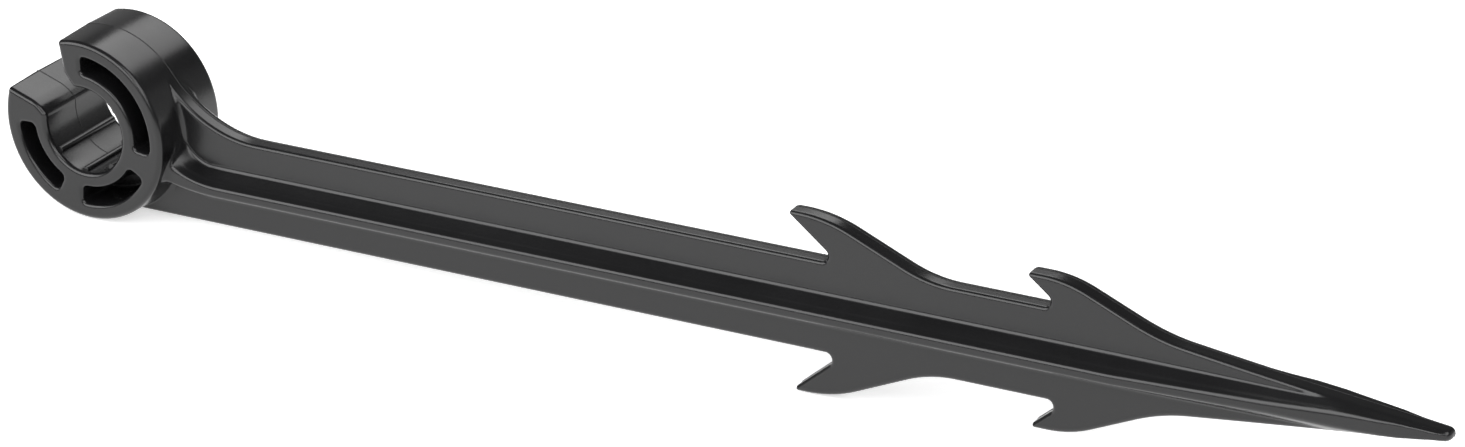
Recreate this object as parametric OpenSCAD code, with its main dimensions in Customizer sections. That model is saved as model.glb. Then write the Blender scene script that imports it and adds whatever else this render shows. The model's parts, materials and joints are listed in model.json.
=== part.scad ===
// Drip tube stake. An open clip holds a drip line down, and a barbed spike under it goes into
// the ground. The real stake is one moulding; its named regions are drawn here as sub-parts
// that meet face to face.
// Origin: centre of the clip's bore, at half its depth. X runs along the spike to its point,
// Y runs along the bore, and Z runs across the blade. Sizes are in millimetres.

/* [Clip] */
// Radius of the bore that grips the tube
bore_r = 8; // [7:0.1:9]
// Outer radius of the clip at its parting line
clip_r = 16.8; // [15.5:0.1:19]
// Depth of the clip along the tube
clip_depth = 18; // [14:0.5:24]
// Wall between the bore and the pockets
collar_wall = 2.6; // [1.8:0.1:3.2]
// Wall between the pockets and the outside
rim_wall = 2.9; // [1.8:0.1:3.6]
// Thickness of the web left at half depth between the front and back pockets
web_t = 1.4; // [0.8:0.1:3]
// Rounding of the clip's outer edges
clip_edge_r = 0.9; // [0.2:0.1:1.6]
// Mould draft of the clip's outside, in degrees
clip_draft = 1.5; // [0:0.25:3]

/* [Mouth] */
// Direction of the lower jaw's end face, in degrees from X
lower_jaw_angle = 160.7; // [155:0.1:170]
// Radial depth of the lower jaw's lead-in chamfer
lower_lead_depth = 2.4; // [1:0.1:4]
// Angle that the lower jaw's chamfer takes off the bore
lower_lead_angle = 8.3; // [3:0.1:14]
// Direction of the upper jaw's inner corner, in degrees from X
upper_jaw_angle = 107.8; // [98:0.1:115]
// Radial depth of the upper jaw's lead-in chamfer
upper_lead_depth = 2.9; // [1:0.1:4]
// Angle that the upper jaw's chamfer takes off the bore
upper_lead_angle = 7; // [3:0.1:14]
// Lean of the upper jaw's end face from vertical, in degrees
upper_jaw_lean = 9; // [0:0.5:14]

/* [Pockets] */
// Direction in which the first pocket starts, just below the lower jaw
first_pocket_angle = 183; // [178:0.5:190]
// Angle that the pocket under the lower jaw spans
left_pocket_span = 59.5; // [40:0.5:65]
// Angle that the bottom pocket spans
bottom_pocket_span = 64.5; // [40:0.5:70]
// Angle that the pocket on the spike's side spans
side_pocket_span = 97.5; // [60:0.5:100]
// Angle of the solid spoke between two pockets
spoke_span = 22; // [14:0.5:26]
// Corner radius of the pockets
pocket_corner_r = 1; // [0.3:0.1:1.3]

/* [Blade] */
// Thickness of the blade
blade_t = 4.9; // [3.5:0.1:7]
// Height of the blade between its two edges
blade_h = 15.9; // [13.5:0.1:17]
// Distance of the blade's middle line below the bore's centre
blade_drop = 7.85; // [6.9:0.05:8.3]
// Radius of the flare that joins the blade's upper edge to the clip
flare_r = 23; // [12:0.5:30]

/* [Point] */
// Distance from the bore's centre to the tip
tip_x = 259.2; // [240:0.1:290]
// Height of the blunt tip
tip_h = 1.7; // [1:0.1:3]
// Thickness of the blunt tip
tip_t = 3.8; // [2:0.1:4.9]
// Taper of each edge of the point, in degrees
point_taper = 6.1; // [5:0.1:7]
// Length over which the thickness narrows to the tip
tip_narrow_length = 17; // [8:0.5:30]

/* [Barbs] */
// Distance from the bore's centre to the noses of the first pair of barbs
first_barb_x = 138; // [110:0.5:145]
// Distance of the first noses from the blade's middle line
first_barb_reach = 16; // [13:0.1:19]
// Distance from the bore's centre to the noses of the second pair
second_barb_x = 182.8; // [178:0.1:190]
// Distance of the second noses from the blade's middle line
second_barb_reach = 13.5; // [11.5:0.1:16]
// Length of the flat top behind a nose, before rounding
barb_crest = 8; // [6:0.1:11]
// Angle between the underside of a barb and the blade
barb_under_angle = 38.5; // [32:0.5:50]
// Slope of a barb's back, in degrees
barb_back_angle = 23; // [19:0.5:30]
// Radius that rounds the top of the first barbs into their backs
first_crest_r = 25; // [5:0.5:28]
// Radius that rounds the top of the second barbs into their backs
second_crest_r = 21; // [5:0.5:25]
// Radius that leads the backs of the first barbs into the blade
first_foot_r = 24; // [5:0.5:26]
// Radius that leads the backs of the second barbs into the point
second_foot_r = 34; // [5:0.5:36]
// Radius in the notch under a barb
notch_r = 1.1; // [0.4:0.1:1.5]
// Radius of a barb's nose
nose_r = 0.5; // [0.2:0.1:0.9]
// Depth of a barb's root below the blade's edge line
barb_seat = 1.2; // [0.5:0.1:2]

/* [Ribs] */
// Width over the crests of the front and back ribs
rib_w = 13.4; // [10:0.1:15]
// Height of a rib at the blade's face
rib_root_h = 5.4; // [3:0.1:7]
// Height of a rib at its crest
rib_crest_h = 1.75; // [1:0.05:2.5]
// Radius of the gusset that joins a rib to the clip
rib_gusset_r = 6; // [3:0.5:8]
// Length over which the ribs slope down to the tip
rib_slope_length = 59; // [40:1:70]

/* [Hidden] */
$fn = 96;
moulding_colour = [0.09, 0.09, 0.1];
// Reach of the cutting shapes past what they cut
over = 1;
// Largest angle between two points of a rounded corner
arc_step = 6;
// Steps of the flare and of a rib's gusset
curve_steps = 12;

mid_z = -blade_drop;
half_h = blade_h / 2;
edge_top_z = mid_z + half_h;
edge_bottom_z = mid_z - half_h;
pocket_in_r = bore_r + collar_wall;
pocket_out_r = clip_r - rim_wall;
pocket_depth = (clip_depth - web_t) / 2;

// Start and end direction of each pocket
bottom_pocket_angle = first_pocket_angle + left_pocket_span + spoke_span;
side_pocket_angle = bottom_pocket_angle + bottom_pocket_span + spoke_span;
pockets = [
    [first_pocket_angle, left_pocket_span],
    [bottom_pocket_angle, bottom_pocket_span],
    [side_pocket_angle, side_pocket_span]
];

function polar(r, angle) = r * [cos(angle), sin(angle)];
function unit(v) = v / norm(v);

// The points that round one corner p, between the corners a and b, to radius r
function corner_arc(a, p, b, r) =
    let (u = unit(a - p), v = unit(b - p))
    let (half = acos(u * v) / 2, turn = 180 - 2 * half)
    let (centre = p + unit(u + v) * r / sin(half), start = p + u * r / tan(half) - centre)
    let (from = atan2(start[1], start[0]), way = sign(cross(start, p - centre)))
    let (steps = max(1, ceil(turn / arc_step)))
    [for (i = [0 : steps]) centre + polar(r, from + way * turn * i / steps)];

// A closed outline from corners written as [x, height, radius]
function rounded(corners) =
    let (n = len(corners), at = [for (c = corners) [c[0], c[1]]])
    [for (i = [0 : n - 1])
        let (r = corners[i][2])
        each r == 0 ? [at[i]] : corner_arc(at[(i + n - 1) % n], at[i], at[(i + 1) % n], r)];

// Half the height of the point's tapered outline, and half its thickness
function taper_h(x) = tip_h / 2 + (tip_x - x) * tan(point_taper);
function face_y(x) =
    let (narrow = max(0, x - tip_x + tip_narrow_length) / tip_narrow_length)
    blade_t / 2 + (tip_t - blade_t) / 2 * narrow;

// Distance behind a barb's nose to the foot of its underside on the blade's edge
function notch_x(nose, reach) = nose + (reach - half_h) / tan(barb_under_angle);
// Where the back of a barb would meet the blade's straight edge, or the point's tapered one
first_foot_x = first_barb_x + barb_crest + (first_barb_reach - half_h) / tan(barb_back_angle);
second_crest_x = second_barb_x + barb_crest;
second_foot_x = second_crest_x + (second_barb_reach - taper_h(second_crest_x))
    / (tan(barb_back_angle) - tan(point_taper));
first_notch_x = notch_x(first_barb_x, first_barb_reach);
second_notch_x = notch_x(second_barb_x, second_barb_reach);

// The upper edge of the spike from the clip to the tip, in [x, height over the middle, radius]
upper_edge = [
    [0, half_h, 0],
    [first_notch_x, half_h, notch_r],
    [first_barb_x, first_barb_reach, nose_r],
    [first_barb_x + barb_crest, first_barb_reach, first_crest_r],
    [first_foot_x, half_h, first_foot_r],
    [second_notch_x, half_h, notch_r],
    [second_barb_x, second_barb_reach, nose_r],
    [second_crest_x, second_barb_reach, second_crest_r],
    [second_foot_x, taper_h(second_foot_x), second_foot_r],
    [tip_x, tip_h / 2, tip_h * 0.45]
];
lower_edge = [for (i = [len(upper_edge) - 1 : -1 : 0])
    [upper_edge[i][0], -upper_edge[i][1], upper_edge[i][2]]];

// Tangent length of a corner whose two sides turn by an angle
function tangent_length(r, turn) = r * tan(turn / 2);
notch_run = tangent_length(notch_r, 180 - barb_under_angle);
first_foot_run = tangent_length(first_foot_r, barb_back_angle);
second_foot_run = tangent_length(second_foot_r, barb_back_angle - point_taper);

// The flare is tangent to the clip and to the blade's upper edge
flare_end_x = sqrt(pow(clip_r + flare_r, 2) - pow(edge_top_z + flare_r, 2));
flare_start = atan2(edge_top_z + flare_r, flare_end_x);

// Puts an outline of X and Z into the blade's plane, with its thickness along Y
module along_y(depth) {
    rotate([90, 0, 0])
        linear_extrude(height = depth, center = true)
            children();
}

// Section through the clip's wall, from the radius inner to the drafted outside
module clip_section(inner) {
    half = clip_depth / 2;
    face_r = clip_r - half * tan(clip_draft);
    flat = half - clip_edge_r;
    round_x = face_r - clip_edge_r;
    polygon([[inner, -half], [round_x, -half], [face_r, -flat], [clip_r, 0],
        [face_r, flat], [round_x, half], [inner, half]]);
    for (side = [-1, 1])
        translate([round_x, side * flat])
            circle(r = clip_edge_r, $fn = 32);
}

// The whole drum that the clip is cut from
module clip_drum() {
    rotate([90, 0, 0])
        rotate_extrude()
            clip_section(0);
}

// Points along an arc from one direction to another
function arc_points(centre, r, from, to) =
    let (steps = max(1, ceil(abs(to - from) / arc_step)))
    [for (i = [0 : steps]) centre + polar(r, from + (to - from) * i / steps)];

// Outline of one pocket: a sector of a ring with rounded corners
module pocket_outline(from, span) {
    r = pocket_corner_r;
    to = from + span;
    far = pocket_out_r - r;
    near = pocket_in_r + r;
    far_turn = asin(r / far);
    near_turn = asin(r / near);
    polygon(concat(
        arc_points([0, 0], pocket_out_r, from + far_turn, to - far_turn),
        arc_points(polar(far, to - far_turn), r, to - far_turn, to + 90),
        arc_points(polar(near, to - near_turn), r, to + 90, to - near_turn + 180),
        arc_points([0, 0], pocket_in_r, to - near_turn, from + near_turn),
        arc_points(polar(near, from + near_turn), r, from + near_turn + 180, from + 270),
        arc_points(polar(far, from + far_turn), r, from + 270, from + far_turn + 360)));
}

// A point past b on the line from a, inside the bore
function past(a, b) = b + unit(b - a) * over;

// The mouth between the two jaws, with its lead-in chamfers
module mouth_outline() {
    lower_corner = polar(bore_r + lower_lead_depth, lower_jaw_angle);
    lower_in = polar(bore_r, lower_jaw_angle + lower_lead_angle);
    upper_corner = polar(bore_r + upper_lead_depth, upper_jaw_angle);
    upper_in = polar(bore_r, upper_jaw_angle - upper_lead_angle);
    upper_out = upper_corner + 2 * clip_r * [-sin(upper_jaw_lean), cos(upper_jaw_lean)];
    polygon([past(lower_corner, lower_in), lower_corner, polar(2 * clip_r, lower_jaw_angle),
        upper_out, upper_corner, past(upper_corner, upper_in)]);
}

module clip_ring() {
    color(moulding_colour)
    difference() {
        rotate([90, 0, 0])
            rotate_extrude()
                clip_section(bore_r);
        along_y(clip_depth + 2 * over)
            mouth_outline();
        for (side = [-1, 1], pocket = pockets)
            translate([0, side * (web_t / 2 + (pocket_depth + over) / 2), 0])
                along_y(pocket_depth + over)
                    pocket_outline(pocket[0], pocket[1]);
    }
}

// Outline of the whole spike about its middle line
module spike_outline() {
    polygon(rounded(concat(upper_edge, lower_edge)));
}

// The zone that a barb takes out of the outline: over the edge line under its nose, and from its
// root up behind the notch
module barb_zone(nose, notch, foot, foot_h) {
    seat_x = notch - notch_run;
    clear_h = half_h + notch_r / 4;
    top = 2 * first_barb_reach;
    polygon([[nose - over, clear_h], [seat_x, clear_h], [seat_x, half_h - barb_seat],
        [foot, foot_h - barb_seat], [foot, top], [nose - over, top]]);
}

module first_barb_zone() {
    barb_zone(first_barb_x, first_notch_x, first_foot_x + first_foot_run, half_h);
}

module second_barb_zone() {
    end_x = second_foot_x + second_foot_run;
    barb_zone(second_barb_x, second_notch_x, end_x, taper_h(end_x));
}

module all_barb_zones() {
    for (side = [0, 1])
        mirror([0, side]) {
            first_barb_zone();
            second_barb_zone();
        }
}

// The wedge between the clip and the blade's upper edge
module flare_outline() {
    polygon(concat(
        [[0, edge_top_z - half_h], [0, edge_top_z]],
        [for (i = [0 : curve_steps])
            let (angle = 180 + flare_start + (90 - flare_start) * i / curve_steps)
            [flare_end_x, edge_top_z + flare_r] + polar(flare_r, angle)],
        [[flare_end_x, edge_top_z - half_h]]));
}

// The blade's plate up to the second pair of barbs
module blade() {
    color(moulding_colour)
    difference() {
        along_y(blade_t) {
            translate([0, mid_z])
                difference() {
                    intersection() {
                        spike_outline();
                        translate([0, -blade_h])
                            square([second_barb_x, 2 * blade_h]);
                    }
                    all_barb_zones();
                }
            flare_outline();
        }
        clip_drum();
    }
}

// Plan view of the spike's plate, which narrows at the tip
module plate_plan() {
    x1 = tip_x - tip_narrow_length;
    polygon([[0, -blade_t / 2], [x1, -blade_t / 2], [tip_x, -tip_t / 2],
        [tip_x, tip_t / 2], [x1, blade_t / 2], [0, blade_t / 2]]);
}

module point() {
    color(moulding_colour)
    intersection() {
        along_y(blade_t)
            translate([0, mid_z])
                difference() {
                    spike_outline();
                    translate([0, -blade_h])
                        square([second_barb_x, 2 * blade_h]);
                    all_barb_zones();
                }
        translate([0, 0, mid_z])
            linear_extrude(height = 2 * blade_h, center = true)
                plate_plan();
    }
}

// One barb above the middle line, or its mirror image below
module barb(side) {
    color(moulding_colour)
    along_y(blade_t)
        translate([0, mid_z])
            mirror([0, side < 0 ? 1 : 0])
                intersection() {
                    spike_outline();
                    children();
                }
}

// Half height of a rib's root and of its crest, and the distance of the crest from the middle
function rib_root(x) = min(rib_root_h / 2, taper_h(x));
function rib_crest(x) = min(rib_crest_h / 2, taper_h(x));
function crest_y(x) =
    let (down = max(0, x - tip_x + rib_slope_length) / rib_slope_length)
    rib_w / 2 + (tip_t - rib_w) / 2 * down;

// Rise of the gusset above a line at height z, on a curve tangent to the clip
function gusset_end(z) = sqrt(pow(clip_r + rib_gusset_r, 2) - pow(z + rib_gusset_r, 2));
function gusset_rise(x, z) =
    let (run = max(0, gusset_end(z) - x))
    rib_gusset_r - sqrt(max(0, pow(rib_gusset_r, 2) - pow(run, 2)));

// Places along the rib where its section is set: along the gusset, then where its slopes change
gusset_to_x = gusset_end(mid_z + rib_root_h / 2);
root_meets_edge_x = tip_x - (rib_root_h - tip_h) / 2 / tan(point_taper);
rib_stations = concat(
    [clip_r / 2],
    [for (i = [0 : curve_steps]) clip_r + (gusset_to_x - clip_r) * i / curve_steps],
    [tip_x - rib_slope_length, root_meets_edge_x, tip_x - tip_narrow_length, tip_x - tip_h]);

// Section of a rib across the spike at x, seated on the plate's face
function rib_section(x) =
    let (root = rib_root(x), crest = rib_crest(x), face = face_y(x), top = crest_y(x))
    let (root_up = root + gusset_rise(x, mid_z + root), crest_up = crest + gusset_rise(x, mid_z + crest))
    [[x, face, mid_z + root_up], [x, top, mid_z + crest_up],
        [x, top, mid_z - crest], [x, face, mid_z - root]];

// Solid through sections that have the same number of points
module loft(sections) {
    n = len(sections[0]);
    last = len(sections) - 1;
    polyhedron(
        points = [for (s = sections) each s],
        faces = concat(
            [[for (j = [0 : n - 1]) j]],
            [for (i = [0 : last - 1], j = [0 : n - 1])
                each let (k = (j + 1) % n, a = i * n, b = a + n)
                [[a + j, b + j, b + k], [a + j, b + k, a + k]]],
            [[for (j = [n - 1 : -1 : 0]) last * n + j]]));
}

// The rib along the back face, or its mirror image along the front face
module face_rib(side) {
    color(moulding_colour)
    mirror([0, side < 0 ? 1 : 0, 0])
    difference() {
        loft([for (x = rib_stations) rib_section(x)]);
        clip_drum();
    }
}

clip_ring();
blade();
point();
barb(1) first_barb_zone();  // barb_upper_1
barb(-1) first_barb_zone();  // barb_lower_1
barb(1) second_barb_zone();  // barb_upper_2
barb(-1) second_barb_zone();  // barb_lower_2
face_rib(-1);  // front_rib
face_rib(1);  // back_rib
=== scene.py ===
"""A drip tube stake of black moulded plastic: an open clip on a flat, ribbed spike with four barbs."""
import json
import math

import bmesh
import bpy
import numpy as np
from mathutils import Matrix, Vector


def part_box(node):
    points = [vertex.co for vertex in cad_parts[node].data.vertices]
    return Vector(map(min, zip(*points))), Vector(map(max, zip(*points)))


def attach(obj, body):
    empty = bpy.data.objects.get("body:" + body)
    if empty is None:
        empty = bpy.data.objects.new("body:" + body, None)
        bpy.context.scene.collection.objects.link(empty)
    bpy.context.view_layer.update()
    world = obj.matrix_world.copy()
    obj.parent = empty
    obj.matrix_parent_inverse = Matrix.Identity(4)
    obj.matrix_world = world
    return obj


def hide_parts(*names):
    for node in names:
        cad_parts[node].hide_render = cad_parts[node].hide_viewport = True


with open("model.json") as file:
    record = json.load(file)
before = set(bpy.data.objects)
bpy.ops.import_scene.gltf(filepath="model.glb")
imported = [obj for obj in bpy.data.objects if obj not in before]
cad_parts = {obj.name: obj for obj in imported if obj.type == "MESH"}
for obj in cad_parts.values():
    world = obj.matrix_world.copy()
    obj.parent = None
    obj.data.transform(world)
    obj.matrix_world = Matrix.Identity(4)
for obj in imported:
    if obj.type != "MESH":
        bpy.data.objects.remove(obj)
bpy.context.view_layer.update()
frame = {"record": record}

# Camera
# The stake was photographed from its front and right, from above and from far away, with the
# camera rolled a little so that the spike runs down to the right.
camera_place = Vector((0.6908, -0.9044, 0.4605))
camera_azimuth = math.radians(31.955)
camera_elevation = math.radians(23.228)
camera_roll = math.radians(-2.34)
photo_width_px = 1465
focal_px = 6993.05

level_right = Vector((math.cos(camera_azimuth), math.sin(camera_azimuth), 0))
camera_forward = Vector((
    -math.sin(camera_azimuth) * math.cos(camera_elevation),
    math.cos(camera_azimuth) * math.cos(camera_elevation),
    -math.sin(camera_elevation)))
level_up = level_right.cross(camera_forward)
camera_right = math.cos(camera_roll) * level_right + math.sin(camera_roll) * level_up
camera_up = math.cos(camera_roll) * level_up - math.sin(camera_roll) * level_right

lens = bpy.data.cameras.new("camera")
lens.sensor_width = 36
lens.lens = lens.sensor_width * focal_px / photo_width_px
lens.clip_start = 0.1
lens.clip_end = 50
camera = bpy.data.objects.new("camera", lens)
turn = Matrix((camera_right, camera_up, -camera_forward)).transposed()
camera.matrix_world = Matrix.Translation(camera_place) @ turn.to_4x4()
bpy.context.scene.collection.objects.link(camera)
bpy.context.scene.camera = camera

# Form of the clip
# An open ring, moulded with the spike, that snaps over the tube. Three pockets hollow each of its
# end faces, down to a thin web at the parting line, y = 0. Every form here and below is a distance
# in millimetres, negative inside the plastic.
MM = 0.001
clip_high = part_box("clip_ring")[1] / MM
bore_r = frame["record"]["mounts"][0]["dims"]["r_mm"]
clip_r = clip_high.x
clip_half = clip_high.y
mould_draft = math.tan(math.radians(1.5))
clip_edge_r = 0.9
jaw_edge_r = 0.5
collar_wall = 2.6
rim_wall = 2.9
web_half = 0.7
pocket_corner_r = 1.0
pocket_foot_r = 0.5
pocket_rim_r = 0.7
# Where each pocket starts and ends, in degrees round the bore.
pocket_spans = ((183, 242.5), (264.5, 329), (351, 448.5))
lower_jaw, lower_lead, lower_lead_depth = math.radians(160.7), math.radians(8.3), 2.4
upper_jaw, upper_lead, upper_lead_depth = math.radians(107.8), math.radians(7), 2.9
upper_lean = math.radians(9)


def polar(r, angle):
    return np.array((r * math.cos(angle), r * math.sin(angle)))


def cut_off(a, b, r):
    """What is inside both a and b, with the edge between them rounded to radius r."""
    return np.minimum(np.maximum(a, b), -r) + np.hypot(np.maximum(a + r, 0), np.maximum(b + r, 0))


def run_into(a, b, r):
    """What is inside a or b, with a fillet of radius r between them."""
    return np.maximum(np.minimum(a, b), r) - np.hypot(np.maximum(r - a, 0), np.maximum(r - b, 0))


def left_of(x, z, start, end):
    """Distance to the left of the line from start to end."""
    along = (end - start) / np.linalg.norm(end - start)
    return (z - start[1]) * along[0] - (x - start[0]) * along[1]


def mouth(x, z):
    """The gap between the jaws, widened towards the bore by a lead-in chamfer on each jaw."""
    low_corner = polar(bore_r + lower_lead_depth, lower_jaw)
    low_in = polar(bore_r, lower_jaw + lower_lead)
    up_corner = polar(bore_r + upper_lead_depth, upper_jaw)
    up_in = polar(bore_r, upper_jaw - upper_lead)
    up_out = up_corner + polar(bore_r, upper_lean + math.pi / 2)
    low_side = run_into(left_of(x, z, polar(bore_r, lower_jaw), low_corner),
                        left_of(x, z, low_in, low_corner), jaw_edge_r)
    up_side = run_into(left_of(x, z, up_out, up_corner),
                       left_of(x, z, up_corner, up_in), jaw_edge_r)
    facing = polar(1, (lower_jaw + upper_jaw) / 2)
    return np.maximum(np.maximum(low_side, up_side), -x * facing[0] - z * facing[1])


def pocket(x, y, z, start, end):
    """One of the hollows in the clip's faces, which narrows with depth by the mould's draft."""
    a, b = math.radians(start), math.radians(end)
    sides = np.maximum(x * math.sin(a) - z * math.cos(a), z * math.cos(b) - x * math.sin(b))
    r = np.hypot(x, z)
    band = np.maximum(r - clip_r + rim_wall, bore_r + collar_wall - r)
    opening = cut_off(band, sides, pocket_corner_r) + (clip_half - y) * mould_draft
    return cut_off(opening, web_half - y, pocket_foot_r)


def clip(x, y, z):
    """The open ring with its jaws and its pockets."""
    r = np.hypot(x, z)
    ring = cut_off(np.maximum(r - clip_r + y * mould_draft, bore_r - r), -mouth(x, z), jaw_edge_r)
    body = cut_off(ring, y - clip_half, clip_edge_r)
    for start, end in pocket_spans:
        body = cut_off(body, -pocket(x, y, z, start, end), pocket_rim_r)
    return body


# Form of the blade, barbs and point
# One flat plate, moulded with the clip, to which it flares up. Two pairs of barbs point back along
# it, so that the stake stays in the soil. Past them it narrows to a blunt point, bevelled behind.
barb_1_low, barb_1_high = (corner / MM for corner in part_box("barb_upper_1"))
barb_2_low, barb_2_high = (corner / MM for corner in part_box("barb_upper_2"))
mid_z = (barb_1_high.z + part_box("barb_lower_1")[0].z / MM) / 2
blade_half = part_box("blade")[1].y / MM
half_h = mid_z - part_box("blade")[0].z / MM
tip_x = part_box("point")[1].x / MM
front_edge_r, back_edge_r = 0.75, 2.3
parting_flat = 0.05
upper_lift, lower_lift = 0.5, 0.2
lift_h = 6
lift_ends = (205, 235)
barb_slope = math.radians(38.5)
back_slope = math.radians(23)
taper = math.radians(6.1)
barb_crest = 8
# Each barb's nose along the blade, its reach, and the radii of its crest and of its foot.
first_barb = (138, barb_1_high.z - mid_z, 25, 24)
second_barb = (182.8, barb_2_high.z - mid_z, 21, 34)
notch_r = 1.1
nose_r = 0.5
start_r = 0.5
tip_half_h = 0.85
tip_corner_r = 0.9 * tip_half_h
tip_half_t = 2.3
thins_from = 242.2
back_bevel_x = (234, 246, 258)
back_bevel_y = (blade_half, 1.7, 0.95)
flare_r = 23
flare_fade = 4


def barb(nose_x, reach, crest_r, foot_r):
    """Corners of one barb's outline, as [x, height, radius], with its back down to the edge it meets."""
    crest_x = nose_x + barb_crest
    foot_x = crest_x + (reach - half_h) / math.tan(back_slope)
    foot_h = half_h
    # The second barb's back runs on to the point's taper.
    if nose_x == second_barb[0]:
        fall = reach - tip_half_h - (tip_x - crest_x) * math.tan(taper)
        foot_x = crest_x + fall / (math.tan(back_slope) - math.tan(taper))
        foot_h = tip_half_h + (tip_x - foot_x) * math.tan(taper)
    return [(nose_x + (reach - half_h) / math.tan(barb_slope), half_h, notch_r),
            (nose_x, reach, nose_r), (crest_x, reach, crest_r), (foot_x, foot_h, foot_r)]


upper_edge = [
    (0, half_h, start_r), *barb(*first_barb), *barb(*second_barb), (tip_x, tip_half_h, tip_corner_r)]


def smooth_outline(corners):
    """The straight sides and the corner arcs of a closed outline of [x, height, radius]."""
    sides, arcs, cuts = [], [], []
    at = [np.array(corner[:2], float) for corner in corners]
    for i, (_, _, r) in enumerate(corners):
        u, v = at[i - 1] - at[i], at[(i + 1) % len(at)] - at[i]
        u, v = u / np.linalg.norm(u), v / np.linalg.norm(v)
        half = math.acos(float(u @ v)) / 2
        bend = (u + v) / np.linalg.norm(u + v)
        convex = -1 if u[0] * v[1] - u[1] * v[0] > 0 else 1
        cuts.append(r / math.tan(half))
        arcs.append((at[i] + bend * r / math.sin(half), r, -bend, math.sin(half), convex))
    for i, start in enumerate(at):
        j = (i + 1) % len(at)
        length = np.linalg.norm(at[j] - start)
        sides.append((start, (at[j] - start) / length, cuts[i], length - cuts[j]))
    return sides, arcs


sides, arcs = smooth_outline(
    [(x, -h, r) for x, h, r in upper_edge] + [(x, h, r) for x, h, r in reversed(upper_edge)])


def from_outline(x, h):
    """Distance from the outline, by its nearest side or corner arc."""
    close, far = 1e-6, 1e6
    nearest = np.full(np.shape(x), far)
    for start, along, first, last in sides:
        run = (x - start[0]) * along[0] + (h - start[1]) * along[1]
        out = (x - start[0]) * along[1] - (h - start[1]) * along[0]
        beside = (run > first - close) & (run < last + close) & (np.abs(out) < np.abs(nearest))
        nearest = np.where(beside, out, nearest)
    for centre, r, middle, spread, convex in arcs:
        dx, dh = x - centre[0], h - centre[1]
        away = np.hypot(dx, dh)
        out = (away - r) * convex
        beside = dx * middle[0] + dh * middle[1] >= away * spread - close
        nearest = np.where(beside & (np.abs(out) < np.abs(nearest)), out, nearest)
    return nearest


def flare(x, z):
    """The plate between the clip and the blade's upper edge, tangent to both, fading up the clip."""
    top_z = mid_z + half_h + upper_lift
    centre_x = math.sqrt((clip_r + flare_r) ** 2 - (top_z + flare_r) ** 2)
    arc = flare_r - np.hypot(x - centre_x, z - top_z - flare_r)
    past = left_of(x, z, np.array((0.0, 0.0)), np.array((centre_x, top_z + flare_r)))
    sunk = np.hypot(x, z) - clip_r + past ** 2 / (2 * flare_fade)
    edge = np.where(past > 0, sunk, arc)
    return np.maximum(np.maximum(edge, x - centre_x), np.maximum(-x - z, mid_z - z))


def plate_face(x, front):
    """The plate's front or back face, which comes nearer to its middle towards the tip."""
    thinned = np.interp(x, (thins_from, tip_x), (blade_half, tip_half_t))
    return np.where(front, thinned, np.interp(x, back_bevel_x, back_bevel_y))


def plate(x, y, z, front):
    """The plate, a little higher than its solid, with crisp edges in front and round ones behind."""
    h = z - mid_z
    lift = np.where(h > 0, upper_lift, lower_lift) * np.interp(x, lift_ends, (1, 0))
    outline = np.minimum(from_outline(x, h - lift * np.clip(h / lift_h, -1, 1)), flare(x, z))
    face = plate_face(x, front)
    edge_r = np.where(front, front_edge_r, np.minimum(back_edge_r, face - parting_flat))
    return cut_off(outline + y * mould_draft, y - face, edge_r)


# Form of the ribs
# A wedge-shaped rib, moulded with the plate, stiffens each face from the clip to the point, and a
# gusset leads it up the clip. Each flank has a fine step where the mould's two cutters met.
rib_crest_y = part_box("back_rib")[1].y / MM
rib_root, rib_crest = 2.7, 0.875
rib_edge_r = 0.5
rib_foot_r = 0.6
rib_step = 0.09
rib_step_run = 0.5
rib_step_y = 5.2
front_crest_x = (200.2, 247, 259.2)
front_crest_y = (rib_crest_y, 3.85, 2.35)
back_crest_x = (200.2, 240, 256)
back_crest_y = (rib_crest_y, 2.9, 0.7)
crest_widens = (228, 243)
wide_crest = 1.35
tip_crest = 0.76
root_inset = 0.3
least_rib = 0.1
rib_end_r = 0.6
gusset_r = 6
crest_lift_from = 26.5
crest_lift_r = 21
lower_gusset = -0.4


def rise(x, z):
    """Height that a rib's gusset adds at x to a line that meets the clip at height z."""
    end = math.sqrt((clip_r + gusset_r) ** 2 - (z + gusset_r) ** 2)
    run = np.clip(end - x, 0, gusset_r)
    return gusset_r - np.sqrt(gusset_r ** 2 - run ** 2)


def rib(x, y, z, front):
    """The rib on either face, whose crest falls and widens towards the point."""
    h = z - mid_z
    face = plate_face(x, front)
    crest_y = np.where(
        front, np.interp(x, front_crest_x, front_crest_y), np.interp(x, back_crest_x, back_crest_y))
    room = tip_half_h + np.maximum(tip_x - x, 0) * math.tan(taper)
    crest = np.minimum(np.interp(x, crest_widens, (rib_crest, wide_crest)), tip_crest * room)
    root = np.maximum(np.minimum(rib_root, room - root_inset), crest)
    root_rise = rise(x, mid_z + rib_root)
    crest_rise = np.clip(crest_lift_from - x, 0, None) ** 2 / (2 * crest_lift_r)
    out = np.maximum(crest_y - face, least_rib)
    size = np.clip(out / (rib_crest_y - blade_half), 0, 1)
    part_way = np.clip((y - face - (rib_step_y - blade_half) * size) / rib_step_run + 0.5, 0, 1)
    stepped = rib_step * size * (part_way ** 2 * (3 - 2 * part_way) - 0.5)
    body = y - crest_y
    for side, part in ((1, 1), (-1, lower_gusset)):
        root_h, crest_h = root + part * root_rise, crest + part * crest_rise
        down = root_h - crest_h
        slope = ((y - face) * down + (side * h - root_h) * out) / np.hypot(out, down)
        body = cut_off(body, slope + stepped, rib_edge_r)
    return cut_off(body, from_outline(x, h), rib_end_r)


# Skin of the moulding
# The stake comes out of the mould in one piece of polypropylene, so the surface is worked out for
# the whole of it, with the fillets that lead the ribs into the plate and the plate into the clip.
plate_seat = 1.5
foot_ends = (205, 240)
foot_end_r = 0.12
nose_y = -0.7
nose_bend_r = 1.6
nose_edge_r = 0.8
clip_foot_r = 1.0
clip_foot_angles = (-75, -50, 20, 30)
clip_foot_share = (0.05, 1, 1, 0.05)


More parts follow.
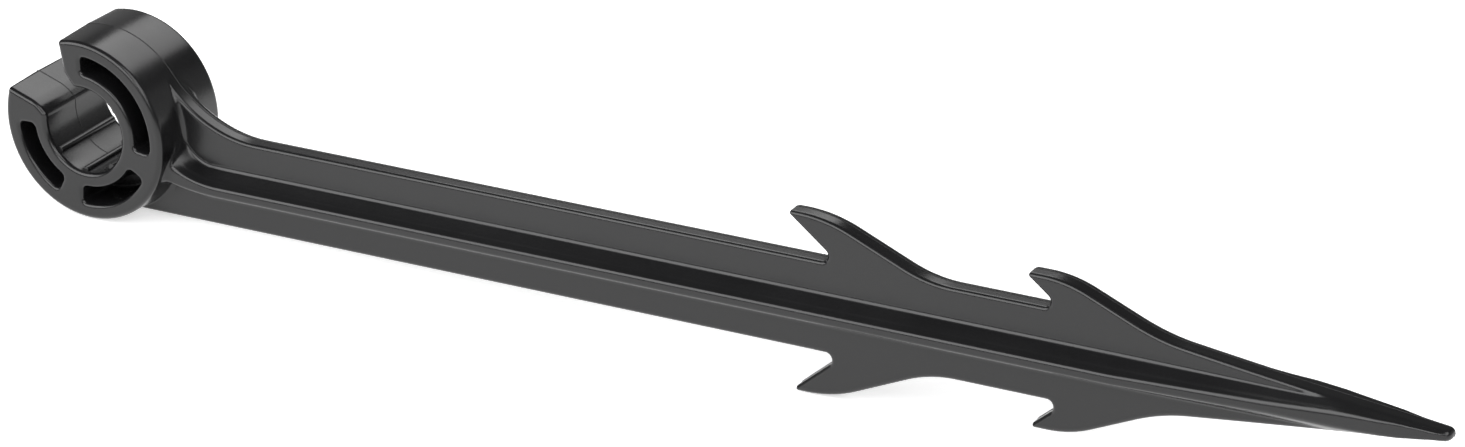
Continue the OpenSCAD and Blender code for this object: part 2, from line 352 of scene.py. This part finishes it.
def clip_fillet(x, z):
    """Radius of the fillet at the clip, which dies out where the plate's edges leave it."""
    angle = np.degrees(np.arctan2(z, x))
    return clip_foot_r * np.interp(angle, clip_foot_angles, clip_foot_share)


def stake(x, y, z):
    """The whole moulding: the plate and its ribs, ending in the nose, run into the clip."""
    off_nose = (y - nose_y) / nose_bend_r
    nose = (x - tip_x + off_nose ** 2 * nose_bend_r / 2) / np.hypot(1, off_nose)
    front, y = y < 0, np.abs(y)
    seat = clip_r - plate_seat - np.hypot(x, z)
    foot_r = np.interp(x, foot_ends, (rib_foot_r, foot_end_r))
    spike = run_into(np.maximum(plate(x, y, z, front), seat), np.maximum(rib(x, y, z, front), seat), foot_r)
    return run_into(clip(x, y, z), cut_off(spike, nose, nose_edge_r), clip_fillet(x, z))


def grid_lines(*stretches):
    """Grid lines along one axis, from (start, end, step) stretches that follow each other."""
    lines = [np.linspace(a, b, max(2, round((b - a) / step)) + 1)[:-1] for a, b, step in stretches]
    return np.concatenate(lines + [[stretches[-1][1]]])


# The grid is fine where the stake curves, and coarse along its straight stretches.
fine = 0.35
margin = 3 * fine
flare_end, tail_start, nose_start = 30, 236, 254
beside_barb = 1
long_step, short_step, tail_step = 2, 1, 0.5
crest_start, crest_end = 4.6, 7.1
grid_x = grid_lines(
    (-clip_r - margin, flare_end, fine),
    (flare_end, barb_1_low.x - beside_barb, long_step),
    (barb_1_low.x - beside_barb, barb_1_high.x + beside_barb, fine),
    (barb_1_high.x + beside_barb, barb_2_low.x - beside_barb, short_step),
    (barb_2_low.x - beside_barb, barb_2_high.x + beside_barb, fine),
    (barb_2_high.x + beside_barb, tail_start, short_step),
    (tail_start, nose_start, tail_step),
    (nose_start, tip_x + margin, fine / 2))
half_y = grid_lines(
    (fine / 2, crest_start, fine), (crest_start, crest_end, fine * 0.6),
    (crest_end, clip_half + margin, fine))
grid_y = np.concatenate([-half_y[::-1], half_y])
grid_z = grid_lines((mid_z - first_barb[1] - margin, clip_r + margin, fine))


def skin(xs, ys, zs, form):
    """Quads over the form's surface, with one point in each grid cell that it passes through."""
    value = form(*np.meshgrid(xs, ys, zs, indexing="ij"))
    cells = tuple(n - 1 for n in value.shape)
    total, count = np.zeros((math.prod(cells), 3)), np.zeros(math.prod(cells))
    crossings = []
    for axis, grid in enumerate((xs, ys, zs)):
        a = np.moveaxis(np.moveaxis(value, axis, 0)[:-1], 0, axis)
        b = np.moveaxis(np.moveaxis(value, axis, 0)[1:], 0, axis)
        index = np.argwhere((a < 0) != (b < 0))
        near, far = a[tuple(index.T)], b[tuple(index.T)]
        place = np.stack([(xs, ys, zs)[k][index[:, k]] for k in range(3)], 1)
        place[:, axis] += (grid[index[:, axis] + 1] - grid[index[:, axis]]) * near / (near - far)
        around = []
        for du, dv in ((-1, -1), (0, -1), (0, 0), (-1, 0)):
            cell = index.copy()
            cell[:, (axis + 1) % 3] += du
            cell[:, (axis + 2) % 3] += dv
            flat = np.ravel_multi_index(tuple(cell.T), cells)
            np.add.at(count, flat, 1)
            np.add.at(total, flat, place)
            around.append(flat)
        quad = np.stack(around, 1)
        crossings.append(np.where((near < 0)[:, None], quad, quad[:, ::-1]))
    used = np.flatnonzero(count)
    number = np.full(len(count), -1)
    number[used] = np.arange(len(used))
    return total[used] / count[used][:, None], number[np.concatenate(crossings)]


def slope_at(points, form, reach=0.02):
    """The way that the form grows at each point, per millimetre."""
    x, y, z = points.T
    return np.stack([
        form(x + reach, y, z) - form(x - reach, y, z),
        form(x, y + reach, z) - form(x, y - reach, z),
        form(x, y, z + reach) - form(x, y, z - reach)], 1) / (2 * reach)


# A few moves along the form's slope, each at most half a grid step, bring every point onto it.
moves = 3
least_slope = 0.2
tiny = 1e-9
points, quads = skin(grid_x, grid_y, grid_z, stake)
for _ in range(moves):
    slope = slope_at(points, stake)
    move = -(stake(*points.T) / np.maximum((slope ** 2).sum(1), least_slope))[:, None] * slope
    length = np.linalg.norm(move, axis=1)[:, None]
    points += move * np.minimum(1, fine / 2 / np.maximum(length, tiny))
moulding = bpy.data.meshes.new("moulding")
moulding.from_pydata((points * MM).tolist(), [], quads.tolist())
moulding.shade_smooth()

# Black polypropylene
# The makers' plain black, moulded against finely blasted steel: a satin skin with a faint grain, in
# places a little paler and duller, where the plastic flowed unevenly.


def linear(hex_colour):
    """The linear colour of an sRGB hex value."""
    parts = [int(hex_colour[i:i + 2], 16) / 255 for i in (1, 3, 5)]
    return [c / 12.92 if c <= 0.04045 else ((c + 0.055) / 1.055) ** 2.4 for c in parts] + [1.0]


def add_node(tree, kind, settings=None, **links):
    """Add a node with its settings and its inputs: values, or the outputs that feed them."""
    node = tree.nodes.new(kind)
    for key, value in (settings or {}).items():
        setattr(node, key, value)
    for key, value in links.items():
        socket = node.inputs[int(key[3:]) if key.startswith("in_") else key.replace("_", " ")]
        if isinstance(value, bpy.types.NodeSocket):
            tree.links.new(value, socket)
        else:
            socket.default_value = value
    return node


# The blasted grain is about 0.1 mm. It is drawn coarser, so that it shows.
grain_mm = 0.45
cloud_mm = 14
plastic = bpy.data.materials.new("moulded_black_polypropylene")
plastic.use_nodes = True
tree = plastic.node_tree
shader = tree.nodes["Principled BSDF"]
shader.inputs["IOR"].default_value = 1.49
place = add_node(tree, "ShaderNodeTexCoord").outputs["Object"]
cloud = add_node(tree, "ShaderNodeTexNoise", Vector=place, Scale=1 / (cloud_mm * MM), Detail=3.0)
grain = add_node(tree, "ShaderNodeTexNoise", Vector=place, Scale=1 / (grain_mm * MM), Detail=2.0)
colour = add_node(
    tree, "ShaderNodeMix", {"data_type": "RGBA"}, Factor=cloud.outputs["Fac"],
    in_6=linear("#111112"), in_7=linear("#151516"))
gloss = add_node(
    tree, "ShaderNodeMapRange", Value=cloud.outputs["Fac"], From_Min=0.3, From_Max=0.7,
    To_Min=0.2, To_Max=0.27)
skin_bump = add_node(
    tree, "ShaderNodeBump", Height=grain.outputs["Fac"], Strength=0.25, Distance=0.02 * MM)
tree.links.new(colour.outputs[2], shader.inputs["Base Color"])
tree.links.new(gloss.outputs["Result"], shader.inputs["Roughness"])
tree.links.new(skin_bump.outputs["Normal"], shader.inputs["Normal"])


# Pieces of the moulding
# The clip, blade, ribs, barbs and point are named for what they do. They are one moulding, so each
# is parted from its neighbour by a cut through the plastic, which is closed on both sides.


def part_off(mesh, beyond, facing):
    """Cut a closed mesh where beyond(x, y, z) is zero, and close both parts: past it and before it."""
    place = np.empty(len(mesh.vertices) * 3)
    mesh.vertices.foreach_get("co", place)
    past = beyond(*(place.reshape(-1, 3) / MM).T)
    ends = np.empty(len(mesh.edges) * 2, int)
    mesh.edges.foreach_get("vertices", ends)
    start, end = past[ends[::2]], past[ends[1::2]]
    whole = bmesh.new()
    whole.from_mesh(mesh)
    whole.edges.ensure_lookup_table()
    cut = [whole.edges[i] for i in np.flatnonzero((start > 0) != (end > 0))]
    rim = []
    for edge in cut:
        near, far = (past[vert.index] for vert in edge.verts)
        rim.append(bmesh.utils.edge_split(edge, edge.verts[0], near / (near - far))[1])
    bmesh.ops.connect_verts(whole, verts=rim)
    for vert in rim:
        vert.index = len(past)
    parts = []
    for kept in (True, False):
        part = whole.copy()
        dropped = [face for face in part.faces if any(
            vert.index < len(past) and (past[vert.index] > 0) != kept for vert in face.verts)]
        bmesh.ops.delete(part, geom=dropped, context="FACES")
        hole = [edge for edge in part.edges if edge.is_boundary]
        lid = bmesh.ops.triangle_fill(part, use_beauty=True, edges=hole, normal=facing)
        for face in lid["geom"]:
            if isinstance(face, bmesh.types.BMFace):
                face.smooth = False
                if (face.normal.dot(Vector(facing)) > 0) == kept:
                    face.normal_flip()
        made = bpy.data.meshes.new("part")
        part.to_mesh(made)
        part.free()
        parts.append(made)
    whole.free()
    return parts


def name_piece(mesh, name, node):
    """A finished piece: shaded by the form's own slope, and in the place of its solid."""
    place = np.empty(len(mesh.vertices) * 3)
    mesh.vertices.foreach_get("co", place)
    normals = slope_at(place.reshape(-1, 3) / MM, stake)
    normals /= np.linalg.norm(normals, axis=1)[:, None]
    corners = np.empty(len(mesh.loops), int)
    mesh.loops.foreach_get("vertex_index", corners)
    on_skin, sizes = np.empty(len(mesh.polygons), bool), np.empty(len(mesh.polygons), int)
    mesh.polygons.foreach_get("use_smooth", on_skin)
    mesh.polygons.foreach_get("loop_total", sizes)
    mesh.normals_split_custom_set((normals[corners] * np.repeat(on_skin, sizes)[:, None]).tolist())
    mesh.materials.append(plastic)
    piece = bpy.data.objects.new(name, mesh)
    bpy.context.scene.collection.objects.link(piece)
    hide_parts(node)
    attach(piece, "root")


# How far past the clip's rim, the blade's edge and its face the cuts lie.
past_clip, past_edge, past_face = 0.8, 0.25, 0.03
towards_blade = (0.955, 0, -0.295)
before_barbs, between_barbs = 60, 175
spike_mesh, clip_mesh = part_off(
    moulding, lambda x, y, z: np.hypot(x, z) - clip_r - past_clip, towards_blade)
name_piece(clip_mesh, "clip", "clip_ring")
for node, side, start, end in (
        ("barb_upper_1", 1, before_barbs, between_barbs), ("barb_lower_1", -1, before_barbs, between_barbs),
        ("barb_upper_2", 1, between_barbs, tip_x), ("barb_lower_2", -1, between_barbs, tip_x)):
    barb_mesh, spike_mesh = part_off(
        spike_mesh, lambda x, y, z: np.where(
            (x > start) & (x < end), side * (z - mid_z) - half_h - past_edge, -1),
        (0, 0, side))
    name_piece(barb_mesh, "moulded_" + node, node)
for node, side in (("back_rib", 1), ("front_rib", -1)):
    rib_mesh, spike_mesh = part_off(
        spike_mesh, lambda x, y, z: side * y - blade_half - past_face, (0, side, 0))
    name_piece(rib_mesh, "moulded_" + node, node)
point_mesh, blade_mesh = part_off(spike_mesh, lambda x, y, z: x - second_barb[0], (1, 0, 0))
name_piece(point_mesh, "moulded_point", "point")
name_piece(blade_mesh, "moulded_blade", "blade")

# Grip ribs
# Five rounded ribs along the bore, moulded with the clip, which bite on the tube so that it
# doesn't slide. Two of them show in the photograph.
grip_count = 5
grip_first = math.radians(-140.5)
grip_spacing = math.radians(44)
grip_length = 15.8
grip_bar_r = 0.6
grip_centre_r = 7.95
bar_rows, bar_sides = 72, 14
blunt_end = 0.001


def modifier_input(modifier, name, value):
    """Set one named input of a Geometry Nodes modifier by its socket's identifier."""
    for item in modifier.node_group.interface.items_tree:
        if item.item_type == "SOCKET" and item.in_out == "INPUT" and item.name == name:
            modifier[item.identifier] = value


def start_tree(name, inputs):
    """A Geometry Nodes tree with named inputs, and its input and output nodes."""
    tree = bpy.data.node_groups.new(name, "GeometryNodeTree")
    tree.interface.new_socket("Geometry", in_out="INPUT", socket_type="NodeSocketGeometry")
    for label, kind in inputs.items():
        tree.interface.new_socket(label, in_out="INPUT", socket_type="NodeSocket" + kind)
    tree.interface.new_socket("Geometry", in_out="OUTPUT", socket_type="NodeSocketGeometry")
    return tree, tree.nodes.new("NodeGroupInput").outputs, tree.nodes.new("NodeGroupOutput").inputs


def settle(name, mesh, tree, values):
    """Run a tree on a mesh, and keep its result as a plain mesh piece of the clip's plastic."""
    piece = bpy.data.objects.new(name, mesh)
    bpy.context.scene.collection.objects.link(piece)
    modifier = piece.modifiers.new(name, "NODES")
    modifier.node_group = tree
    for label, value in values.items():
        modifier_input(modifier, label, value)
    result = bpy.data.meshes.new_from_object(piece.evaluated_get(bpy.context.evaluated_depsgraph_get()))
    piece.modifiers.remove(modifier)
    piece.data = result
    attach(piece, "root")


def calc(tree, operation, a, b=0.0, clamp=False):
    """The output of one sum."""
    settings = {"operation": operation, "use_clamp": clamp}
    return add_node(tree, "ShaderNodeMath", settings, in_0=a, in_1=b).outputs[0]


def end_tree(tree, shape, material, result):
    """Make a tree's shape real, smooth and of the given material, and put it out."""
    real = add_node(tree, "GeometryNodeRealizeInstances", Geometry=shape)
    smooth = add_node(tree, "GeometryNodeSetShadeSmooth", Geometry=real.outputs[0])
    finished = add_node(tree, "GeometryNodeSetMaterial", Geometry=smooth.outputs[0], Material=material)
    tree.links.new(finished.outputs[0], result[0])


tree, given, result = start_tree("grip_ribs", {
    "Count": "Int", "First angle": "Float", "Spacing": "Float", "Length": "Float", "Bar radius": "Float",
    "Centre radius": "Float", "Material": "Material"})
half = calc(tree, "MULTIPLY", given["Length"], 0.5)
ends = [
    add_node(tree, "ShaderNodeCombineXYZ", Y=y).outputs[0]
    for y in (calc(tree, "MULTIPLY", half, -1.0), half)]
line = add_node(tree, "GeometryNodeCurvePrimitiveLine", Start=ends[0], End=ends[1])
bar = add_node(tree, "GeometryNodeResampleCurve", Curve=line.outputs[0], Count=bar_rows)
position = tree.nodes.new("GeometryNodeInputPosition").outputs[0]
along = add_node(tree, "ShaderNodeSeparateXYZ", Vector=position).outputs["Y"]
from_end = calc(tree, "SUBTRACT", half, calc(tree, "ABSOLUTE", along))
inset = calc(tree, "SUBTRACT", 1.0, calc(tree, "DIVIDE", from_end, given["Bar radius"], clamp=True))
round_end = calc(
    tree, "SQRT", calc(tree, "SUBTRACT", 1 + blunt_end, calc(tree, "MULTIPLY", inset, inset)))
shaped = add_node(tree, "GeometryNodeSetCurveRadius", Curve=bar.outputs[0], Radius=round_end)
section = add_node(
    tree, "GeometryNodeCurvePrimitiveCircle", Resolution=bar_sides, Radius=given["Bar radius"])
rod = add_node(
    tree, "GeometryNodeCurveToMesh", Curve=shaped.outputs[0], Profile_Curve=section.outputs[0],
    Fill_Caps=True)
spots = add_node(tree, "GeometryNodePoints", Count=given["Count"])
number = tree.nodes.new("GeometryNodeInputIndex").outputs[0]
angle = calc(tree, "ADD", calc(tree, "MULTIPLY", number, given["Spacing"]), given["First angle"])
ring = [
    calc(tree, "MULTIPLY", calc(tree, kind, angle), given["Centre radius"])
    for kind in ("COSINE", "SINE")]
ring_place = add_node(tree, "ShaderNodeCombineXYZ", X=ring[0], Z=ring[1])
set_out = add_node(
    tree, "GeometryNodeSetPosition", Geometry=spots.outputs[0], Position=ring_place.outputs[0])
copies = add_node(
    tree, "GeometryNodeInstanceOnPoints", Points=set_out.outputs[0], Instance=rod.outputs[0])
end_tree(tree, copies.outputs[0], given["Material"], result)
settle("grip_ribs", bpy.data.meshes.new("grip_ribs"), tree, {
    "Count": grip_count, "First angle": grip_first, "Spacing": grip_spacing, "Length": grip_length * MM,
    "Bar radius": grip_bar_r * MM, "Centre radius": grip_centre_r * MM, "Material": plastic})

# Parting line
# The fine bead that the moulding has where the two halves of the mould met, all round its
# outline at y = 0.
bead_r = 0.09
bead_step = 0.5
bead_sides = 6
halves = bmesh.new()
halves.from_mesh(moulding)
everything = halves.verts[:] + halves.edges[:] + halves.faces[:]
met = bmesh.ops.bisect_plane(
    halves, geom=everything, dist=tiny, plane_co=(0, 0, 0), plane_no=(0, 1, 0))
path_edges = [edge for edge in met["geom_cut"] if isinstance(edge, bmesh.types.BMEdge)]
path_verts = list({vert: None for edge in path_edges for vert in edge.verts})
rank = {vert: i for i, vert in enumerate(path_verts)}
path = bpy.data.meshes.new("parting_line")
path.from_pydata(
    [vert.co[:] for vert in path_verts],
    [[rank[vert] for vert in edge.verts] for edge in path_edges], [])
halves.free()
tree, given, result = start_tree("parting_line", {
    "Bead radius": "Float", "Step": "Float", "Material": "Material"})
curve = add_node(tree, "GeometryNodeMeshToCurve", Mesh=given["Geometry"])
even = add_node(
    tree, "GeometryNodeResampleCurve", {"mode": "LENGTH"}, Curve=curve.outputs[0], Length=given["Step"])
section = add_node(
    tree, "GeometryNodeCurvePrimitiveCircle", Resolution=bead_sides, Radius=given["Bead radius"])
bead = add_node(tree, "GeometryNodeCurveToMesh", Curve=even.outputs[0], Profile_Curve=section.outputs[0])
end_tree(tree, bead.outputs[0], given["Material"], result)
settle("parting_line", path, tree, {
    "Bead radius": bead_r * MM, "Step": bead_step * MM, "Material": plastic})

# Floor
# A large sheet of matt white paper, which leans a little so that the stake stands on it with its
# clip and its lowest barb. Its glow shows to the camera and in reflections, but lights nothing.
paper_half = 4
paper_glow = 0.6
steepest, lean_error = math.radians(6), 1e-6
underside = points[points[:, 2] < mid_z][:, ::2]
barb_underside = underside[underside[:, 0] > before_barbs]
lean, most = 0.0, steepest
while most - lean > lean_error:
    middle = (lean + most) / 2
    lowest_barb = (barb_underside @ (math.sin(middle), math.cos(middle))).min()
    lean, most = (lean, middle) if lowest_barb > -clip_r else (middle, most)
down = Vector((-math.sin(lean), 0, -math.cos(lean)))
rest = down * (clip_r + bead_r) * MM
along, across = Vector((math.cos(lean), 0, -math.sin(lean))), Vector((0, 1, 0))
floor_mesh = bpy.data.meshes.new("floor")
floor_mesh.from_pydata(
    [rest + paper_half * (a * along + b * across) for a, b in ((-1, -1), (1, -1), (1, 1), (-1, 1))], [],
    [(0, 1, 2, 3)])
floor = bpy.data.objects.new("floor", floor_mesh)
bpy.context.scene.collection.objects.link(floor)
paper = bpy.data.materials.new("matt_white_paper")
paper.use_nodes = True
tree = paper.node_tree
sheet = tree.nodes["Principled BSDF"]
sheet.inputs["Base Color"].default_value = linear("#f4f4f4")
sheet.inputs["Roughness"].default_value = 0.9
ray = tree.nodes.new("ShaderNodeLightPath").outputs
seen = calc(tree, "MAXIMUM", ray["Is Camera Ray"], ray["Is Glossy Ray"])
seen = calc(tree, "MAXIMUM", seen, ray["Is Transmission Ray"])
glow = calc(tree, "MULTIPLY", seen, paper_glow)
sheet.inputs["Emission Color"].default_value = (1, 1, 1, 1)
tree.links.new(glow, sheet.inputs["Emission Strength"])
floor_mesh.materials.append(paper)

# Light
# Four softboxes and two dim cards in a dim tent, which the camera sees through to the white
# surround: one close behind the clip's top, a wide one in front, one high at the side, and one at
# the front corner that draws the rounded edges. The cards give faint reflections from behind.
tent_r = 7
cloth_glow = 0.13
tent_mesh = bpy.data.meshes.new("tent")
shell = bmesh.new()
bmesh.ops.create_uvsphere(shell, u_segments=48, v_segments=24, radius=tent_r)
shell.to_mesh(tent_mesh)
shell.free()
tent = bpy.data.objects.new("tent", tent_mesh)
bpy.context.scene.collection.objects.link(tent)
tent.visible_camera = False
cloth = bpy.data.materials.new("lit_grey_cloth")
cloth.use_nodes = True
cloth.node_tree.nodes.remove(cloth.node_tree.nodes["Principled BSDF"])
glow = add_node(
    cloth.node_tree, "ShaderNodeEmission", Color=(1.0, 1.0, 1.0, 1.0), Strength=cloth_glow)
cloth.node_tree.links.new(glow.outputs[0], cloth.node_tree.nodes["Material Output"].inputs["Surface"])
tent_mesh.materials.append(cloth)

# Each lamp's place and aim, its width and height in metres, and its radiance.
for name, place, aim, width, height, radiance in (
        ("back_softbox", (-0.002, 0.18, 0.2), (0, 0, 0.01), 0.2, 0.12, 2.8),
        ("front_softbox", (-0.93, -2.2, 1.76), (0.1, 0, 0), 4.5, 2, 4.1),
        ("side_softbox", (1.85, -0.7, 2.3), (0.1, 0, 0), 1.8, 1.8, 3),
        ("back_card", (-1.9, 2.5, 1.0), (0.1, 0, 0), 1.2, 1.1, 0.25),
        ("side_card", (1.9, 1.35, 0.45), (0, 0, 0), 1.5, 1.2, 0.3),
        ("edge_softbox", (1.75, -1.8, 1.3), (0, 0, 0), 1.3, 1.1, 3.5)):
    lamp = bpy.data.lights.new(name, "AREA")
    lamp.shape = "RECTANGLE"
    lamp.size, lamp.size_y = width, height
    lamp.energy = radiance * math.pi * width * height
    softbox = bpy.data.objects.new(name, lamp)
    away = Vector(place) - Vector(aim)
    softbox.matrix_world = Matrix.Translation(place) @ away.to_track_quat("Z", "Y").to_matrix().to_4x4()
    softbox.visible_camera = False
    bpy.context.scene.collection.objects.link(softbox)

world = bpy.data.worlds.new("studio")
world.use_nodes = True
world.node_tree.nodes["Background"].inputs["Color"].default_value = (1, 1, 1, 1)
world.node_tree.nodes["Background"].inputs["Strength"].default_value = 1.0
bpy.context.scene.world = world

bpy.context.scene.view_settings.view_transform = "Standard"
